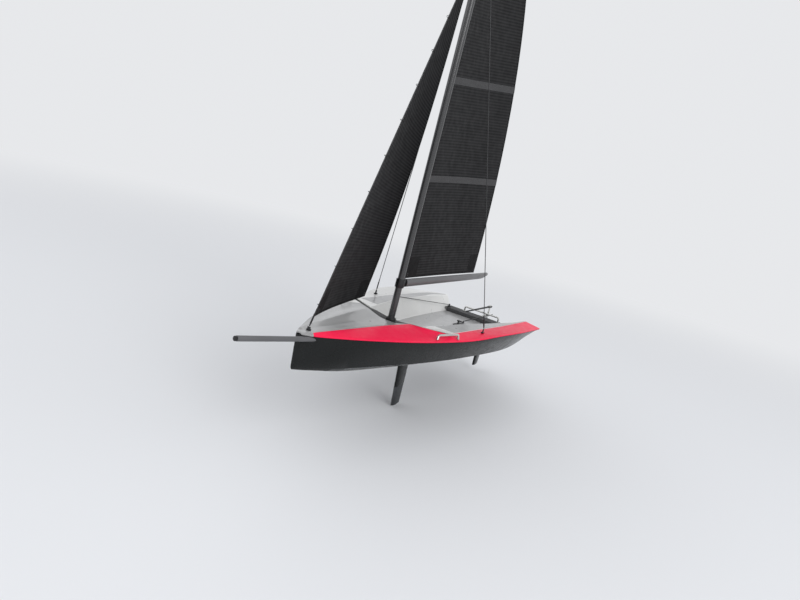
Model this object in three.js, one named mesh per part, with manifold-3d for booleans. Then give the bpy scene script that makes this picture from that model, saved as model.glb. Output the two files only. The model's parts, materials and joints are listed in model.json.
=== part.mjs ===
// Radio controlled sailboat: a wide, hard-chined hull with an open cockpit, bowsprit, fin keel,
// transom-hung rudder, fractional sloop rig and the radio gear under the foredeck.
// Millimetres. +X forward, +Y to port, +Z up. The origin is the centre of the mast foot at deck level.
import * as THREE from 'three';
import { mergeVertices } from 'three/addons/utils/BufferGeometryUtils.js';
import Module from 'manifold-3d';

const wasm = await Module();
wasm.setup();

// ---- driving dimensions ------------------------------------------------------------------------
const GAP = 0.3;                 // clearance kept between touching pieces
const BOW_X = 338;               // face of the blunt bow
const STERN_X = -662;            // face of the transom; bow to stern is 1000
const SHELL = 3;                 // wall of the hull laminate
const DECK = 3;                  // thickness of every deck moulding
const NOSE_AFT_X = 318;          // the sheer panels start here, aft of the blunt nose

const MAST_RADIUS = 8.2;
const MAST_FOOT_Z = 2.6;
const MASTHEAD_Z = 1000;
const HOUNDS_Z = 848;            // where the stays meet the mast
const STAY_HEAD_X = 13.5;
const FORESTAY_X = 312;          // deck eye of the forestay
const FORESTAY_Z = 18;
const STAY_RADIUS = 1;
const SHROUD_X = -190;           // chainplates
const SHROUD_Y = 169;
const RAIL_TOP = 11.8;           // centre line of the hand rails
const RAIL_RADIUS = 2.8;

const PIVOT_X = -18;             // gooseneck pin, the axis of the boom
const BOOM_START_X = -26;
const BOOM_END_X = -578;
const BOOM_TAPER_X = -528;       // from here aft the underside sweeps up to the end cap
const BOOM_Z = 94;               // boom centre at the gooseneck
const BOOM_RISE = 0.0205;        // the boom climbs aft
const BOOM_HALF_HEIGHT = 10;
const BOOM_HALF_WIDTH = 6.5;

const SAIL_THICKNESS = 0.6;
const MAIN_LUFF_X = -14.5;
const MAIN_TACK_Z = 106;
const MAIN_HEAD_Z = 965;         // luff height at the square head
const MAIN_CAMBER = 0.035;       // of the chord, bulging to starboard
const BATTENS = [['lower', 0.279], ['middle', 0.5355], ['upper', 0.8]];   // share of the luff
const BATTEN_HALF = 0.0091;
const JIB_TACK_Z = 37;
const JIB_HEAD_Z = 775;
const JIB_ANGLE = 15.5;          // sheeting angle to starboard at the clew, in degrees
const JIB_TWIST = 10;            // how much of it is lost at the head
const JIB_CAMBER = 0.05;
const JIB_LUFF_GAP = 2.2;        // luff tape stands off the stay
const JIB_FOOT_ROUND = 9;        // the foot curves this far below the line from tack to clew

const RUDDER_X = -720;           // rudder stock, aft of the transom
const STOCK_RADIUS = 3;
const TILLER_Z = -15;
const STEER_ARM = 16;            // both steering arms, so the pushrod stays parallel
const STEER_Z = -43.5;           // middle plane of both arms
const ROD_Z = -39.5;
const SERVO_X = -450;            // axis of the rudder servo

// ---- hull lines: [x, half breadth, height] from bow to stern -------------------------------------
const SHEER = [
  [338, 7, 8], [307, 26, 6], [207, 76, 4], [76, 124, 0], [-56, 163, -2],
  [-145, 184, -1], [-227, 205, 6], [-355, 221, 6], [-481, 218, -3], [-662, 205, -20],
];
const CHINE = [
  [338, 4, -52], [307, 15, -48], [232, 56, -39], [108, 99, -32], [0, 136, -28],
  [-147, 176, -21], [-372, 209, -20], [-662, 194, -31],
];
const KEEL = [
  [338, 0, -66], [307, 0, -73], [207, 0, -83], [60, 0, -89], [-50, 0, -90],
  [-260, 0, -90], [-450, 0, -89], [-662, 0, -78],
];
// Crease between the foredeck and the sheer panels, and aft of the foredeck the bench's outer edge.
const CREASE = [
  [338, 13, 9.5], [318, 16.3, 11], [200, 33, 13], [100, 47, 14], [15, 58.6, 12.7],
];
const BENCH_OUTER = [
  [-31, 140, 11], [-93, 141, 7.7], [-217, 149, 5.3], [-341, 157, 2], [-527, 162, -3], [-662, 153, -13],
];
const BENCH_INNER = [
  [-24, 76, 8], [-155, 99, 8], [-232, 113, 7], [-341, 124, 1], [-465, 137, -4], [-662, 147, -14],
];
const FLOOR_EDGE = [
  [-24, 70, -48], [-210, 98, -55], [-465, 116, -58], [-662, 120, -60],
];
const FOREDECK_AFT = [[16, 0, 2], [16, 18, 2], [15, 58.6, 12.7]];
const PANEL_TAIL = [-31, 140, 11];   // the panel's diagonal aft edge ends here, at the bench
const BENCH_FRONT_X = -50;           // outer front corner of the bench, behind the gutter

const palette = {
  gelcoat: [0xa6a6a6, 0.45, 0], white: [0xd9d9d6, 0.4, 0], red: [0xff2e5c, 0.4, 0],
  hull: [0x191c1c, 0.3, 0], pad: [0x4b4b4b, 0.7, 0], carbon: [0x505050, 0.35, 0.1],
  sail: [0x2d2d2d, 0.6, 0], strip: [0x464646, 0.6, 0], tube: [0x5f5f5f, 0.35, 0.2],
  steel: [0xc8c8c3, 0.2, 1], wire: [0x3c3c3c, 0.4, 0.6], lead: [0x5a5c60, 0.6, 0.3],
  plastic: [0x1c1c1e, 0.5, 0], label: [0x2c5f9e, 0.5, 0],
};

const boat = new THREE.Group();

// ---- helpers -----------------------------------------------------------------------------------
function addPart(name, geometry, slot) {
  const [color, roughness, metalness] = palette[slot];
  const mesh = new THREE.Mesh(geometry, new THREE.MeshStandardMaterial({ color, roughness, metalness }));
  mesh.name = name;
  boat.add(mesh);
  return mesh;
}

function toSolid(geometry) {
  const bare = geometry.clone();
  bare.deleteAttribute('normal');
  bare.deleteAttribute('uv');
  const merged = mergeVertices(bare, 1e-4);
  return new wasm.Manifold(new wasm.Mesh({
    numProp: 3,
    vertProperties: new Float32Array(merged.attributes.position.array),
    triVerts: new Uint32Array(merged.index.array),
  }));
}

function toGeometry(solid) {
  const mesh = solid.getMesh();
  const geometry = new THREE.BufferGeometry();
  geometry.setAttribute('position', new THREE.BufferAttribute(new Float32Array(mesh.vertProperties), 3));
  geometry.setIndex(new THREE.BufferAttribute(new Uint32Array(mesh.triVerts), 1));
  geometry.computeVertexNormals();
  return geometry;
}

const cut = (geometry, ...tools) =>
  toGeometry(tools.reduce((solid, tool) => solid.subtract(toSolid(tool)), toSolid(geometry)));
const join = (geometry, ...others) =>
  toGeometry(others.reduce((solid, other) => solid.add(toSolid(other)), toSolid(geometry)));
const common = (first, second) => toGeometry(toSolid(first).intersect(toSolid(second)));

// Smooth curve through hull-line points, read at a given x.
function lineAt(line, x) {
  const last = line.length - 1;
  let i = line.findIndex((point, k) => k < last && x <= point[0] && x >= line[k + 1][0]);
  if (i < 0) i = x > line[0][0] ? 0 : last - 1;
  const [a, b] = [line[i], line[i + 1]];
  const before = line[Math.max(i - 1, 0)];
  const after = line[Math.min(i + 2, last)];
  const t = (x - a[0]) / (b[0] - a[0]);
  const span = b[0] - a[0];
  const value = (axis) => {
    const slopeA = (b[axis] - before[axis]) / (b[0] - before[0]) * span;
    const slopeB = (after[axis] - a[axis]) / (after[0] - a[0]) * span;
    const [t2, t3] = [t * t, t * t * t];
    return (2 * t3 - 3 * t2 + 1) * a[axis] + (t3 - 2 * t2 + t) * slopeA
      + (3 * t2 - 2 * t3) * b[axis] + (t3 - t2) * slopeB;
  };
  return { y: value(1), z: value(2) };
}

const spread = (from, to, count) =>
  Array.from({ length: count + 1 }, (_, i) => from + (to - from) * i / count);

// Closed solid from rings of points, one ring after another, with both ends capped. From mirrorFrom on
// round the ring, each quad is split along its other diagonal.
function loft(rings, mirrorFrom = Infinity) {
  const size = rings[0].length;
  const flat = rings.flat(2);
  const index = [];
  for (let i = 0; i < rings.length - 1; i += 1) {
    for (let j = 0; j < size; j += 1) {
      const a = i * size + j;
      const b = i * size + (j + 1) % size;
      if (j < mirrorFrom) index.push(a, b, a + size, b, b + size, a + size);
      else index.push(a, b, b + size, a, b + size, a + size);
    }
  }
  const cap = (ring, start, flip) => {
    const origin = new THREE.Vector3(...ring[0]);
    const normal = new THREE.Vector3();
    ring.forEach((point, k) => {
      const p = new THREE.Vector3(...point).sub(origin);
      const q = new THREE.Vector3(...ring[(k + 1) % size]).sub(origin);
      normal.add(p.cross(q));
    });
    normal.normalize();
    const u = Math.abs(normal.z) < 0.9 ? new THREE.Vector3(0, 0, 1) : new THREE.Vector3(1, 0, 0);
    const v = new THREE.Vector3().crossVectors(normal, u).normalize();
    u.crossVectors(v, normal);
    const outline = ring.map((point) => {
      const p = new THREE.Vector3(...point);
      return new THREE.Vector2(p.dot(u), p.dot(v));
    });
    THREE.ShapeUtils.triangulateShape(outline, []).forEach(([a, b, c]) => {
      index.push(...(flip ? [start + a, start + c, start + b] : [start + a, start + b, start + c]));
    });
  };
  cap(rings[0], 0, true);
  cap(rings[rings.length - 1], (rings.length - 1) * size, false);
  const geometry = new THREE.BufferGeometry();
  geometry.setAttribute('position', new THREE.Float32BufferAttribute(flat, 3));
  geometry.setIndex(index);
  return outward(geometry);
}

// Turns a closed mesh the right way out.
function outward(geometry) {
  const p = geometry.attributes.position;
  const index = geometry.index.array;
  const [a, b, c] = [new THREE.Vector3(), new THREE.Vector3(), new THREE.Vector3()];
  let volume = 0;
  for (let i = 0; i < index.length; i += 3) {
    a.fromBufferAttribute(p, index[i]);
    b.fromBufferAttribute(p, index[i + 1]);
    c.fromBufferAttribute(p, index[i + 2]);
    volume += a.dot(b.cross(c));
  }
  if (volume < 0) {
    for (let i = 0; i < index.length; i += 3) [index[i + 1], index[i + 2]] = [index[i + 2], index[i + 1]];
  }
  geometry.computeVertexNormals();
  return geometry;
}

// Sheet from a grid of points; the second face lies along offset, and is split into triangles the same
// way as the first, so that the thickness stays even where the sheet is twisted.
function sheet(grid, offset) {
  const rings = grid.map((row) => {
    const back = row.map(([x, y, z]) => [x + offset[0], y + offset[1], z + offset[2]]).reverse();
    return [...row, ...back];
  });
  return loft(rings, grid[0].length);
}

function box(x0, x1, y0, y1, z0, z1) {
  const geometry = new THREE.BoxGeometry(x1 - x0, y1 - y0, z1 - z0);
  return geometry.translate((x0 + x1) / 2, (y0 + y1) / 2, (z0 + z1) / 2);
}

// Upright cylinder or cone between two heights.
function post(x, y, z0, z1, radius, sides = 16, topRadius = radius) {
  const geometry = new THREE.CylinderGeometry(topRadius, radius, z1 - z0, sides);
  return geometry.rotateX(Math.PI / 2).translate(x, y, (z0 + z1) / 2);
}

// Round bar between two points.
function bar(from, to, radius, sides = 16) {
  const [a, b] = [new THREE.Vector3(...from), new THREE.Vector3(...to)];
  const along = b.clone().sub(a);
  const geometry = new THREE.CylinderGeometry(radius, radius, along.length(), sides);
  const turn = new THREE.Quaternion().setFromUnitVectors(new THREE.Vector3(0, 1, 0), along.normalize());
  const middle = a.add(b).multiplyScalar(0.5);
  return geometry.applyQuaternion(turn).translate(middle.x, middle.y, middle.z);
}

function ring(x, y, z0, z1, inner, outer, sides = 24) {
  const profile = [[inner, z0], [outer, z0], [outer, z1], [inner, z1], [inner, z0]];
  const points = profile.map(([r, z]) => new THREE.Vector2(r, z));
  return new THREE.LatheGeometry(points, sides).rotateX(Math.PI / 2).translate(x, y, 0);
}

// Bent tube through corner points, with rounded corners.
function bentTube(points, radius, bend, sides = 10) {
  const corners = points.map((p) => new THREE.Vector3(...p));
  const path = new THREE.CurvePath();
  let from = corners[0];
  for (let i = 1; i < corners.length - 1; i += 1) {
    const back = corners[i - 1].clone().sub(corners[i]).normalize().multiplyScalar(bend);
    const ahead = corners[i + 1].clone().sub(corners[i]).normalize().multiplyScalar(bend);
    const start = corners[i].clone().add(back);
    const end = corners[i].clone().add(ahead);
    path.add(new THREE.LineCurve3(from, start));
    path.add(new THREE.QuadraticBezierCurve3(start, corners[i], end));
    from = end;
  }
  path.add(new THREE.LineCurve3(from, corners[corners.length - 1]));
  const length = path.getLength();
  const section = new THREE.Shape();
  section.absarc(0, 0, radius, 0, Math.PI * 2, false);
  const steps = Math.min(36, Math.max(12, Math.round(length / (radius * 2))));
  const curveSegments = Math.max(4, Math.round(sides / 2));
  return new THREE.ExtrudeGeometry(section, { steps, curveSegments, extrudePath: path, bevelEnabled: false });
}

// ---- hull --------------------------------------------------------------------------------------
const NOSE = [BOW_X, 328, NOSE_AFT_X + GAP];
const FORE = [NOSE_AFT_X, ...spread(300, 30, 9)];
const PANEL_AFT = spread(PANEL_TAIL[0], STERN_X, 16);
const STATIONS = [...NOSE, ...FORE, FOREDECK_AFT[2][0], -10, ...PANEL_AFT];

// Half section from sheer to keel; inset is the distance inside the outer skin.
function halfSection(x, inset) {
  const [sheer, chine, keel] = [lineAt(SHEER, x), lineAt(CHINE, x), lineAt(KEEL, x)];
  const rise = chine.z - keel.z;
  const bottom = (share, up) => [Math.max(chine.y * share - inset, 0.5), keel.z + rise * up + inset];
  return [
    [Math.max(sheer.y - inset, 0.6), sheer.z - DECK - GAP],
    [Math.max(chine.y - inset, 0.5), chine.z + inset * 0.3],
    bottom(0.88, 0.42), bottom(0.62, 0.13), [0, keel.z + inset],
  ];
}

function hullBody(stations, inset, raise) {
  return loft(stations.map((x) => {
    const half = halfSection(x, inset);
    if (raise > 0) half.unshift([half[0][0], half[0][1] + raise]);
    const port = half.map(([y, z]) => [x, y, z]);
    const starboard = port.slice(0, -1).reverse().map(([px, y, z]) => [px, -y, z]);
    return [...port, ...starboard];
  }));
}

const INNER_STATIONS = [BOW_X - 8, ...STATIONS.slice(2), STERN_X - 4];
const SPRIT_TIP = [484, -8, 11.5];
const SPRIT_HEEL = [206, 32, -11.5];
const SPRIT_RADIUS = 5;

function hullShell() {
  const shell = cut(hullBody(STATIONS, 0, 0), hullBody(INNER_STATIONS, SHELL, 40));
  const keelHole = post(-130, 0, -110, -70, 2.8);
  return cut(shell, bar(SPRIT_HEEL, SPRIT_TIP, SPRIT_RADIUS + GAP, 20), keelHole);
}

// Everything inside the skin, a gap away from it: trims bulkheads to the hull.
const insideHull = () => hullBody(INNER_STATIONS, SHELL + GAP, 60);

// The space that the cockpit moulding takes, a gap larger all round: trims what lies under it.
function wellSpace() {
  const reach = DECK + GAP;
  return loft(spread(-20, STERN_X - 6, 20).map((x) => {
    const [outer, inner, floor] = [BENCH_OUTER, BENCH_INNER, FLOOR_EDGE].map((line) => lineAt(line, x));
    const port = [
      [outer.y + 1, 70], [outer.y + 1, outer.z - reach], [inner.y + reach, inner.z - reach],
      [floor.y + reach, floor.z - reach],
    ];
    return [...port, ...port.slice().reverse().map(([y, z]) => [-y, z])].map(([y, z]) => [x, y, z]);
  }));
}

function deckAndPanels() {
  const half = GAP / 2;
  const noseOuter = (x) => lineAt(x > NOSE_AFT_X ? SHEER : CREASE, x);
  const foredeckRows = [...NOSE, ...FORE, FOREDECK_AFT[2][0]].map((x) => {
    const edge = noseOuter(x);
    const y = edge.y - (x > NOSE_AFT_X ? 0 : half);
    const blend = (BOW_X - x) / (BOW_X - FOREDECK_AFT[0][0]);
    const middle = 10 - 8 * blend;
    const aft = x === FOREDECK_AFT[2][0];
    const centre = aft ? FOREDECK_AFT[0][0] : x;
    const flat = Math.min(18, y * 0.35);
    return [[x, -y, edge.z], [centre, -flat, middle], [centre, flat, middle], [x, y, edge.z]];
  });
  addPart('foredeck', sheet(foredeckRows, [0, 0, -DECK]), 'gelcoat');

  for (const [name, side, slot] of [['port', 1, 'red'], ['starboard', -1, 'gelcoat']]) {
    const fore = FORE.map((x) => {
      const [inner, outer] = [lineAt(CREASE, x), lineAt(SHEER, x)];
      return [[x, side * (inner.y + half), inner.z], [x, side * outer.y, outer.z]];
    });
    const corner = lineAt(SHEER, -10);
    const peak = FOREDECK_AFT[2];
    const beside = lineAt(SHEER, peak[0]);
    const diagonal = [
      [[peak[0], side * (peak[1] + half), peak[2]], [peak[0], side * beside.y, beside.z]],
      [[-8, side * 99, 11.8], [-10, side * corner.y, corner.z]],
    ];
    const aft = PANEL_AFT.map((x) => {
      const [inner, outer] = [lineAt(BENCH_OUTER, x), lineAt(SHEER, x)];
      return [[x, side * (inner.y + half), inner.z], [x, side * outer.y, outer.z]];
    });
    addPart(`sheer_panel_${name}`, sheet([...fore, ...diagonal, ...aft], [0, 0, -DECK]), slot);
  }
}

function cockpitMoulding() {
  const half = GAP / 2;
  const rings = spread(-24, STERN_X, 18).map((x, i) => {
    const [outer, inner, floor] = [BENCH_OUTER, BENCH_INNER, FLOOR_EDGE].map((line) => lineAt(line, x));
    const edgeX = i === 0 ? BENCH_FRONT_X : x;
    if (i === 0) Object.assign(outer, lineAt(BENCH_OUTER, BENCH_FRONT_X));
    const port = [
      [edgeX, outer.y - half, outer.z], [x, inner.y, inner.z], [x, floor.y, floor.z],
    ];
    const under = [
      [edgeX, outer.y - half, outer.z - DECK], [x, inner.y + DECK, inner.z - DECK],
      [x, floor.y + DECK, floor.z - DECK],
    ];
    const flip = ([px, y, z]) => [px, -y, z];
    return [...port, ...port.slice().reverse().map(flip), ...under.map(flip), ...under.slice().reverse()];
  });
  const servoHole = box(SERVO_X - 30 - GAP, SERVO_X + 11 + GAP, -10.6, 10.6, -70, -40);
  return cut(loft(rings), servoHole);
}

function gutter() {
  const rows = [];
  for (const side of [-1, 1]) {
    const outline = [
      [[15.6, 0, 0], [-22, 0, 0]], [[15.6, 18, 0], [-22, 18, 0]],
      [[14.6, 58.3, 9.5], [-22, 60, 5.5]], [[5, 74, 9], [-23.5, 80, 6]],
      [[-8.9, 98, 8.6], [-31.2, 98, 6.5]], [[-28.9, 132, 8], [-46, 133, 6.5]],
    ];
    const half = outline.map(([a, b]) => [[a[0], side * a[1], a[2]], [b[0], side * b[1], b[2]]]);
    rows.push(...(side < 0 ? half.reverse().slice(0, -1) : half));
  }
  return sheet(rows, [0, 0, -2]);
}

function bulkhead(x0, x1, top) {
  const outline = new THREE.Shape(top.map(([y, z]) => new THREE.Vector2(y, z)));
  const plate = new THREE.ExtrudeGeometry(outline, { depth: x1 - x0, bevelEnabled: false });
  plate.rotateX(Math.PI / 2).rotateZ(Math.PI / 2).translate(x0, 0, 0);
  return common(plate, insideHull());
}

const DOOR = { y: 34, z0: -46, z1: -14 };

function hullParts() {
  addPart('hull_shell', hullShell(), 'hull');
  deckAndPanels();
  addPart('cockpit_moulding', cockpitMoulding(), 'white');
  addPart('cockpit_gutter', gutter(), 'pad');

  const profile = [
    [-150, -100], [150, -100], [150, -10], [118, 1.5], [98, 3], [58, 3], [20, -3.4],
    [-20, -3.4], [-58, 3], [-98, 3], [-118, 1.5], [-150, -10],
  ];
  const doorway = box(-30, -10, -DOOR.y + 4, DOOR.y - 4, DOOR.z0 + 4, DOOR.z1 - 4);
  const switchSlot = box(-30, -10, 45.6, 60.4, -33.6, -22.4);
  addPart('mast_bulkhead', cut(bulkhead(-21.4, -18.4, profile), doorway, switchSlot), 'gelcoat');

  const stern = [[-210, -100], [210, -100], [210, -23.6], [-210, -23.6]];
  addPart('transom_plate', cut(bulkhead(STERN_X + 0.4, STERN_X + 3.4, stern), wellSpace()), 'hull');

  const aftTop = box(-661.5, -609, -124, 124, -46 - DECK, -46);
  addPart('aft_deck', join(aftTop, box(-612, -609, -116, 116, -58.8, -48)), 'pad');
}

function bowspritParts() {
  const tip = new THREE.Vector3(...SPRIT_TIP);
  const heel = new THREE.Vector3(...SPRIT_HEEL);
  const along = tip.clone().sub(heel).normalize();
  const at = (distance) => heel.clone().addScaledVector(along, distance).toArray();
  const length = tip.distanceTo(heel);
  addPart('bowsprit', bar(at(4), at(length), SPRIT_RADIUS, 24), 'tube');
  addPart('bowsprit_cap', bar(at(length + GAP), at(length + 4), SPRIT_RADIUS - 0.6, 24), 'plastic');
  const block = box(196, 222, 14, 48, -30, 2);
  addPart('bowsprit_heel_block', cut(block, bar(at(3), at(60), SPRIT_RADIUS + GAP, 20)), 'plastic');
}

// ---- keel and rudder ---------------------------------------------------------------------------
// Symmetric foil section with a round nose, as half thickness against the share of the chord.
function foilRing(noseX, chord, thickness, z) {
  const shares = [0, 0.04, 0.14, 0.3, 0.5, 0.72, 0.9, 1];
  const half = (s) => thickness
    * (1.48 * Math.sqrt(s) - 0.63 * s - 1.76 * s * s + 1.42 * s ** 3 - 0.51 * s ** 4);
  const port = shares.map((s) => [noseX - chord * s, Math.max(half(s), s === 0 ? 0 : 0.3), z]);
  const starboard = port.slice(1).reverse().map(([x, y, pz]) => [x, -y, pz]);
  return [...port, ...starboard];
}

function keelParts() {
  const [top, join2, tip] = [-90.6, -200, -256];
  const nose = (z) => -98 + (z - top) * 0.147;
  const chord = (z) => 64 + (z - top) * 0.12;
  const blade = loft([top, join2 + GAP / 2].map((z) => foilRing(nose(z), chord(z), 9, z)));
  addPart('keel_fin', cut(blade, post(-130, 0, -126, -80, 2.8)), 'hull');
  addPart('keel_ballast', loft([join2 - GAP / 2, tip].map((z) => foilRing(nose(z), chord(z), 9, z))), 'lead');
  addPart('keel_bolt', post(-130, 0, -125.5, -70, 2.5), 'steel');
  addPart('keel_nut', cut(post(-130, 0, -86.3, -80, 5.5, 6), post(-130, 0, -90, -76, 2.8)), 'steel');
}

function rudderParts() {
  const x = RUDDER_X;
  const tines = [[-50, -46], [-70, -66]].map(([z0, z1]) => join(
    box(x, STERN_X - 2, -7, 7, z0, z1), post(x, 0, z0, z1, 7, 20)));
  const backing = box(STERN_X - 3.3, STERN_X - GAP, -12, 12, -72, -46);
  const bore = post(x, 0, -90, -30, STOCK_RADIUS + GAP);
  addPart('rudder_bracket', cut(join(backing, ...tines), bore), 'steel');

  addPart('rudder_stock', post(x, 0, -130, -8, STOCK_RADIUS), 'steel');
  const blade = loft([-72, -120, -180, -225, -240].map((z) => {
    const shrink = z < -180 ? (-180 - z) / 60 * 14 : 0;
    return foilRing(x + 16 - shrink * 0.4, 62 - shrink, 9.4, z);
  }));
  addPart('rudder_blade', cut(blade, post(x, 0, -130.6, -60, STOCK_RADIUS + GAP)), 'hull');

  const arm = join(post(x, 0, STEER_Z - 1.5, STEER_Z + 1.5, 7, 20),
    box(x - 3, x + 3, 0, STEER_ARM, STEER_Z - 1.5, STEER_Z + 1.5),
    post(x, STEER_ARM, STEER_Z - 1.5, STEER_Z + 1.5, 3.5));
  addPart('rudder_arm', cut(arm, bore, post(x, STEER_ARM, -60, -30, 1.3, 12)), 'plastic');

  const sections = [
    [-736, 3.6, 2.2], [-726, 5.2, 2.5], [-712, 5.2, 2.5],
    [-690, 2.8, 2.3], [-496, 2.2, 1.8], [-491, 1.5, 1.3],
  ];
  const rings = sections.map(([px, w, h]) => [
    [px, -w, TILLER_Z - h], [px, w, TILLER_Z - h], [px, w, TILLER_Z + h], [px, -w, TILLER_Z + h],
  ]);
  addPart('tiller', cut(loft(rings), post(x, 0, -30, 0, STOCK_RADIUS + GAP)), 'carbon');
}

function steeringParts() {
  const x = SERVO_X;
  const body = box(x - 30, x + 11, -10.2, 10.2, -83, -55);
  const flange = box(x - 37, x + 18, -10.2, 10.2, -57.2, -54.7);
  const spline = post(x, 0, -55.5, STEER_Z - 1.8, 2.6, 12);
  addPart('rudder_servo', join(body, flange, spline), 'plastic');

  const horn = join(post(x, 0, STEER_Z - 1.5, STEER_Z + 1.5, 5.5, 20),
    box(x - 2.6, x + 2.6, 0, STEER_ARM, STEER_Z - 1.5, STEER_Z + 1.5),
    post(x, STEER_ARM, STEER_Z - 1.5, STEER_Z + 1.5, 3.2));
  addPart('servo_horn', cut(horn, post(x, STEER_ARM, -60, -30, 1.3, 12)), 'plastic');

  const ends = [x, RUDDER_X];
  const pins = ends.map((px) => bar([px, STEER_ARM, STEER_Z - 2.5], [px, STEER_ARM, ROD_Z], 1, 10));
  const rod = bar([x + 2, STEER_ARM, ROD_Z], [RUDDER_X - 2, STEER_ARM, ROD_Z], 1.5, 12);
  addPart('steering_pushrod', join(rod, ...pins), 'steel');
}

// ---- rig ---------------------------------------------------------------------------------------
const boomMiddle = (x) => BOOM_Z + (BOOM_START_X - x) * BOOM_RISE;

// Oval section of the boom; its top stays straight where it tapers.
function boomRing(x, scale) {
  const share = (BOOM_TAPER_X - x) / (BOOM_TAPER_X - BOOM_END_X);
  const past = Math.min(1, Math.max(0, share)) ** 2;
  const halfHeight = BOOM_HALF_HEIGHT * (1 - 0.4 * past);
  const halfWidth = BOOM_HALF_WIDTH * (1 - 0.25 * past);
  const z = boomMiddle(x) + BOOM_HALF_HEIGHT - halfHeight;
  return Array.from({ length: 20 }, (_, i) => {
    const a = i / 20 * Math.PI * 2;
    return [x, Math.cos(a) * halfWidth * scale, z + Math.sin(a) * halfHeight * scale];
  });
}

// Point of the mainsail: u from luff to leech, v from foot to head.
function mainPoint(u, v) {
  const z0 = MAIN_TACK_Z + (MAIN_HEAD_Z - MAIN_TACK_Z) * v;
  const leechRise = 10.5 + 112 * v + 184 * v * v - 264 * v ** 3;
  const chord = 444.5 - 237 * v * v - 64 * v ** 3;
  const x = MAIN_LUFF_X - chord * u;
  const fullness = Math.sin(Math.PI / 2 * Math.min(1, 0.12 + v * 1.3));
  const belly = MAIN_CAMBER * chord * Math.sin(Math.PI * u) * fullness;
  return [x, -belly, z0 + leechRise * u];
}

const sailGrid = (point, rows) => rows.map((v) => spread(0, 1, 8).map((u) => point(u, v)));

const STAY_FOOT = new THREE.Vector3(FORESTAY_X, 0, FORESTAY_Z);
const STAY_HEAD = new THREE.Vector3(STAY_HEAD_X, 0, HOUNDS_Z);
const STAY_AXIS = STAY_HEAD.clone().sub(STAY_FOOT).normalize();

// Point of the jib: u from luff to leech, v from foot to head, turned about the forestay.
function jibPoint(u, v) {
  const z = JIB_TACK_Z + (JIB_HEAD_Z - JIB_TACK_Z) * v;
  const onStay = STAY_FOOT.clone().addScaledVector(STAY_AXIS, (z - STAY_FOOT.z) / STAY_AXIS.z);
  const chord = 264 * (1 - v) + 6 + 12 * Math.sin(Math.PI * v);
  const aft = new THREE.Vector3(-STAY_AXIS.z, 0, STAY_AXIS.x);
  const round = JIB_FOOT_ROUND * Math.sin(Math.PI * u) * (1 - v) ** 4;
  const climb = STAY_AXIS.clone().multiplyScalar(chord * u * 0.36 * (1 - v) - round);
  const angle = THREE.MathUtils.degToRad(JIB_ANGLE - JIB_TWIST * v);
  const camber = JIB_CAMBER * chord * Math.sin(Math.PI * u) / Math.max(chord * u + JIB_LUFF_GAP, 1);
  const spoke = aft.applyAxisAngle(STAY_AXIS, angle + camber);
  return onStay.add(climb).addScaledVector(spoke, JIB_LUFF_GAP + chord * u).toArray();
}

function mastParts() {
  addPart('mast_tube', ring(0, 0, MAST_FOOT_Z, MASTHEAD_Z, MAST_RADIUS - 1.5, MAST_RADIUS, 24), 'carbon');
  const bore = MAST_RADIUS + GAP;
  const cup = [[0, 0.3], [12.5, 0.3], [12.5, 5], [10.8, 8], [bore, 8], [bore, 2.3], [0, 2.3]];
  const profile = cup.map(([r, z]) => new THREE.Vector2(r, z));
  addPart('mast_step', new THREE.LatheGeometry(profile, 24).rotateX(Math.PI / 2), 'plastic');
  addPart('masthead_cap', post(0, 0, MASTHEAD_Z + GAP, MASTHEAD_Z + 5, MAST_RADIUS, 24, 7), 'plastic');

  const clamp = ring(0, 0, BOOM_Z - 10, BOOM_Z + 10, bore, 10.8);
  const lugs = [[BOOM_Z - 10, BOOM_Z - 6], [BOOM_Z + 6, BOOM_Z + 10]].map(([z0, z1]) => join(
    box(PIVOT_X, -9.8, -4, 4, z0, z1), post(PIVOT_X, 0, z0, z1, 4)));
  addPart('gooseneck_bracket', cut(join(clamp, ...lugs), post(PIVOT_X, 0, 70, 120, 1.8)), 'steel');
  const pin = join(post(PIVOT_X, 0, BOOM_Z - 13, BOOM_Z + 11, 1.5),
    post(PIVOT_X, 0, BOOM_Z + 10 + GAP, BOOM_Z + 11.4, 3));
  addPart('gooseneck_pin', pin, 'steel');

  const band = ring(0, 0, HOUNDS_Z - 5, HOUNDS_Z + 5, bore, 10.8);
  const ears = [box(10, 16, -1.5, 1.5, HOUNDS_Z - 3, HOUNDS_Z + 5),
    box(-2, 2, 10, 15, HOUNDS_Z - 3, HOUNDS_Z + 5), box(-2, 2, -15, -10, HOUNDS_Z - 3, HOUNDS_Z + 5)];
  addPart('hounds_fitting', join(band, ...ears), 'steel');
}

function boomParts() {
  const tapered = spread(BOOM_TAPER_X, BOOM_END_X, 4);
  const outer = loft([BOOM_START_X, ...tapered].map((x) => boomRing(x, 1)));
  const bore = loft([BOOM_START_X + 5, ...tapered, BOOM_END_X - 5].map((x) => boomRing(x, 0.82)));
  addPart('boom_tube', cut(outer, bore), 'carbon');
  const cap = [[0, 1], [5, 0.92], [9, 0.7], [12, 0.35]]
    .map(([step, scale]) => boomRing(BOOM_END_X - GAP - step, scale));
  addPart('boom_end_cap', loft(cap), 'plastic');
  const face = loft([boomRing(BOOM_START_X + GAP, 0.95), boomRing(BOOM_START_X + 2, 0.95)]);
  const eye = join(post(PIVOT_X, 0, BOOM_Z - 5.5, BOOM_Z + 5.5, 4.5, 20),
    box(BOOM_START_X + 1, PIVOT_X, -4, 4, BOOM_Z - 5.5, BOOM_Z + 5.5));
  addPart('boom_tang', cut(join(face, eye), post(PIVOT_X, 0, 70, 120, 1.8)), 'steel');
}

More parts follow.
